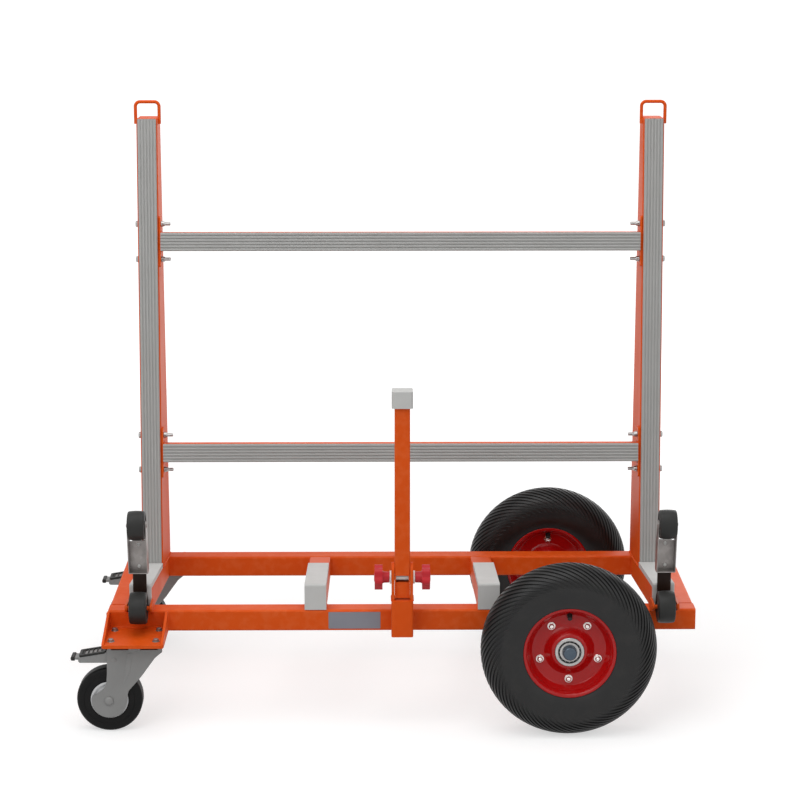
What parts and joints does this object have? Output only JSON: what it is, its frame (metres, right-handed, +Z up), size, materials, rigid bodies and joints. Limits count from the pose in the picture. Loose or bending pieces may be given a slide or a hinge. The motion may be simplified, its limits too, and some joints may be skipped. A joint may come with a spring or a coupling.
{
  "type": "slab buggy",
  "caption": "Welded steel slab buggy with leaning ribbed uprights, cross rails, sloping rubber pads, a folding clamp post, pneumatic wheels and braked swivel casters.",
  "frame": {"origin": "on the floor, below the middle of the whole outline", "axes": "+X along the frame from the casters to the pneumatic wheels, +Y from the loading side to the uprights, +Z up"},
  "size_m": [1.431, 0.7796, 1.3944],
  "materials": {
    "orange_paint": "semi-gloss powder coat",
    "pad_grey": "smooth pale grey rubber",
    "rib_grey": "ribbed grey rubber",
    "zinc": "zinc plated",
    "pressed_grey": "plated grey steel",
    "tyre_rubber": "matt black rubber",
    "roller_rubber": "matt black rubber",
    "dark_paint": "dark paint",
    "red_paint": "gloss red paint",
    "red_plastic": "moulded red plastic",
    "core_grey": "grey nylon"
  },
  "bodies": {
    "frame": {"axle": "pressed_grey", "front_caster_plate": "pressed_grey", "front_rail": "orange_paint", "hinge_pin": "zinc", "left_end_member": "orange_paint", "left_end_seat_bar": "orange_paint", "left_end_seat_pad": "pad_grey", "left_lower_bottom_wing_bolt": "zinc", "left_lower_top_wing_bolt": "zinc", "left_middle_seat_bar": "orange_paint", "left_middle_seat_pad": "pad_grey", "left_roller_bracket": "zinc", "left_roller_stalk": "dark_paint", "left_upper_bottom_wing_bolt": "zinc", "left_upper_top_wing_bolt": "zinc", "left_upright": "orange_paint", "left_upright_facing": "rib_grey", "lower_cross_rail": "orange_paint", "lower_rail_facing": "rib_grey", "post_socket": "orange_paint", "rear_caster_plate": "pressed_grey", "rear_rail": "orange_paint", "right_end_member": "orange_paint", "right_end_seat_bar": "orange_paint", "right_end_seat_pad": "pad_grey", "right_lower_bottom_wing_bolt": "zinc", "right_lower_top_wing_bolt": "zinc", "right_middle_seat_bar": "orange_paint", "right_middle_seat_pad": "pad_grey", "right_roller_bracket": "zinc", "right_roller_stalk": "dark_paint", "right_upper_bottom_wing_bolt": "zinc", "right_upper_top_wing_bolt": "zinc", "right_upright": "orange_paint", "right_upright_facing": "rib_grey", "upper_cross_rail": "orange_paint", "upper_rail_facing": "rib_grey"},
    "front_wheel": {"front_tyre": "tyre_rubber", "front_rim": "red_paint", "front_hub": "pressed_grey"},
    "front_caster": {"front_caster_fork": "pressed_grey"},
    "front_caster_wheel": {"front_caster_tyre": "tyre_rubber", "front_caster_core": "core_grey"},
    "front_pedal": {"front_brake_pedal": "pressed_grey"},
    "rear_wheel": {"rear_tyre": "tyre_rubber", "rear_rim": "red_paint", "rear_hub": "pressed_grey"},
    "rear_caster": {"rear_caster_fork": "pressed_grey"},
    "rear_caster_wheel": {"rear_caster_tyre": "tyre_rubber", "rear_caster_core": "core_grey"},
    "rear_pedal": {"rear_brake_pedal": "pressed_grey"},
    "post": {"clamp_post": "orange_paint", "post_cap": "pad_grey"},
    "left_knob": {"left_star_knob": "red_plastic"},
    "left_upper_guide": {"left_upper_roller": "roller_rubber"},
    "left_lower_guide": {"left_lower_roller": "roller_rubber"},
    "right_knob": {"right_star_knob": "red_plastic"},
    "right_upper_guide": {"right_upper_roller": "roller_rubber"},
    "right_lower_guide": {"right_lower_roller": "roller_rubber"}
  },
  "joints": [
    {"name": "front_wheel_spin", "type": "hinge", "parent": "frame", "child": "front_wheel", "pos_m": [0.416, -0.34, 0.2], "axis": [0, 1, 0], "continuous": true},
    {"name": "front_caster_swivel", "type": "hinge", "parent": "frame", "child": "front_caster", "pos_m": [-0.5685, -0.305, 0.1999], "axis": [0, 0, 1], "continuous": true},
    {"name": "front_caster_roll", "type": "hinge", "parent": "front_caster", "child": "front_caster_wheel", "pos_m": [-0.6285, -0.305, 0.075], "axis": [0, 1, 0], "continuous": true},
    {"name": "front_pedal_press", "type": "hinge", "parent": "front_caster", "child": "front_pedal", "pos_m": [-0.6145, -0.305, 0.1719], "axis": [0, -1, 0], "range_deg": [0, 8]},
    {"name": "rear_wheel_spin", "type": "hinge", "parent": "frame", "child": "rear_wheel", "pos_m": [0.416, 0.34, 0.2], "axis": [0, 1, 0], "continuous": true},
    {"name": "rear_caster_swivel", "type": "hinge", "parent": "frame", "child": "rear_caster", "pos_m": [-0.5685, 0.305, 0.1999], "axis": [0, 0, 1], "continuous": true},
    {"name": "rear_caster_roll", "type": "hinge", "parent": "rear_caster", "child": "rear_caster_wheel", "pos_m": [-0.6285, 0.305, 0.075], "axis": [0, 1, 0], "continuous": true},
    {"name": "rear_pedal_press", "type": "hinge", "parent": "rear_caster", "child": "rear_pedal", "pos_m": [-0.6145, 0.305, 0.1719], "axis": [0, -1, 0], "range_deg": [0, 8]},
    {"name": "post_fold", "type": "hinge", "parent": "frame", "child": "post", "pos_m": [0.0395, -0.27, 0.348], "axis": [1, 0, 0], "range_deg": [0, 90]},
    {"name": "left_knob_turn", "type": "hinge", "parent": "frame", "child": "left_knob", "pos_m": [-0.0095, -0.27, 0.348], "axis": [1, 0, 0], "continuous": true},
    {"name": "left_upper_guide_spin", "type": "hinge", "parent": "frame", "child": "left_upper_guide", "pos_m": [-0.5612, -0.2901, 0.4766], "axis": [1, 0, 0], "continuous": true},
    {"name": "left_lower_guide_spin", "type": "hinge", "parent": "frame", "child": "left_lower_guide", "pos_m": [-0.5612, -0.2906, 0.282], "axis": [1, 0, 0], "continuous": true},
    {"name": "right_knob_turn", "type": "hinge", "parent": "frame", "child": "right_knob", "pos_m": [0.0885, -0.27, 0.348], "axis": [1, 0, 0], "continuous": true},
    {"name": "right_upper_guide_spin", "type": "hinge", "parent": "frame", "child": "right_upper_guide", "pos_m": [0.6402, -0.2901, 0.4766], "axis": [1, 0, 0], "continuous": true},
    {"name": "right_lower_guide_spin", "type": "hinge", "parent": "frame", "child": "right_lower_guide", "pos_m": [0.6402, -0.2906, 0.282], "axis": [1, 0, 0], "continuous": true}
  ]
}
